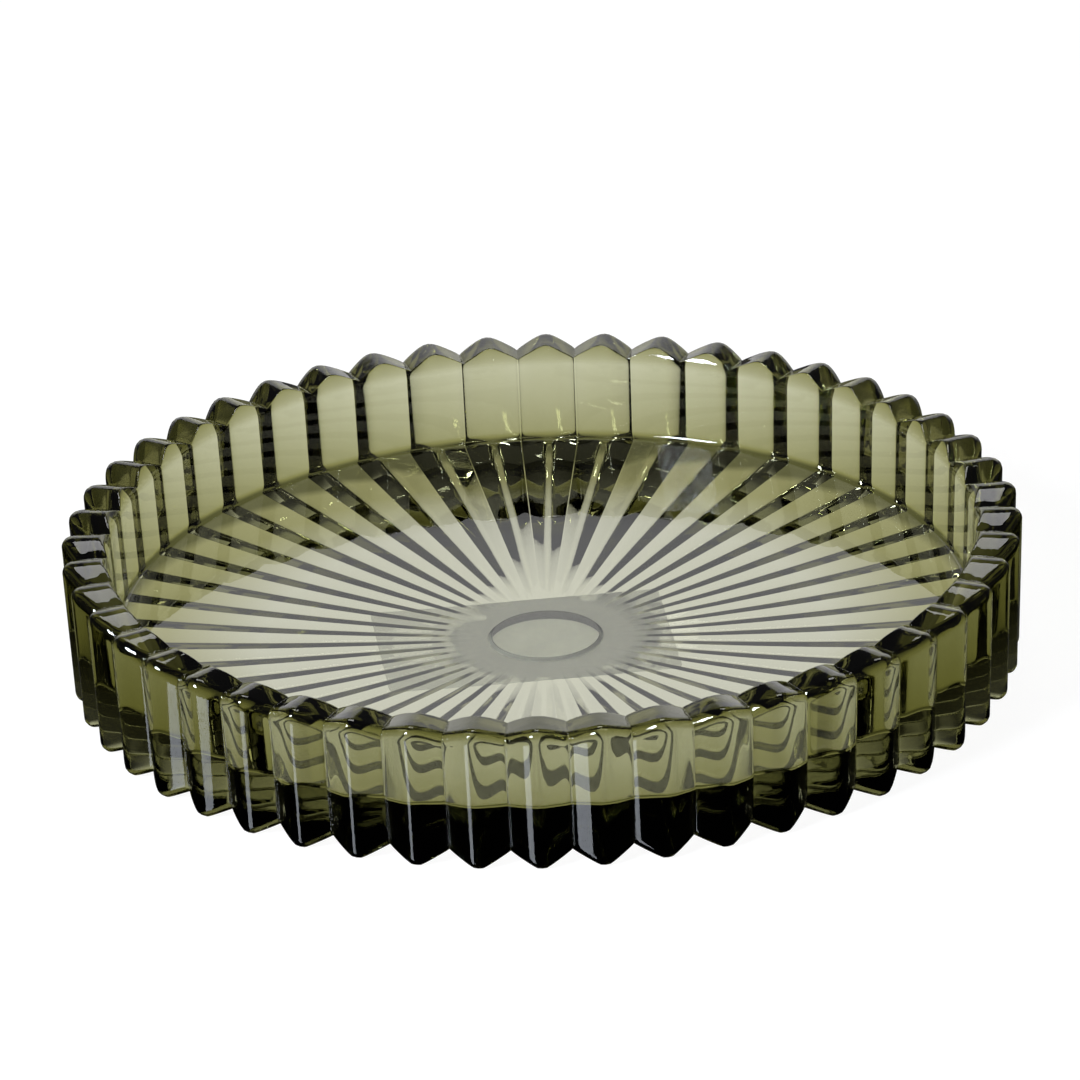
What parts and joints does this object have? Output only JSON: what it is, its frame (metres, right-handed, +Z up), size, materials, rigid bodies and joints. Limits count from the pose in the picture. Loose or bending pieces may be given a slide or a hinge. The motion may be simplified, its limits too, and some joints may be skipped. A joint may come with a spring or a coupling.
{
  "type": "candle plate",
  "caption": "Heavy round pressed-glass candle plate with fluted wall, scalloped rim, radial grooves under the base and a blank paper label.",
  "frame": {"origin": "centre of the round foot, on the surface that the plate stands on", "axes": "+Z up along the dish's axis; a flute tip lies on +Y and another on -Y"},
  "size_m": [0.1998, 0.1998, 0.0314],
  "materials": {
    "smoke_glass": "clear olive-grey pressed glass, fire polished",
    "label_paper": "matt"
  },
  "bodies": {
    "root": {"glass_plate": "smoke_glass", "base_label": "label_paper"}
  },
  "joints": []
}
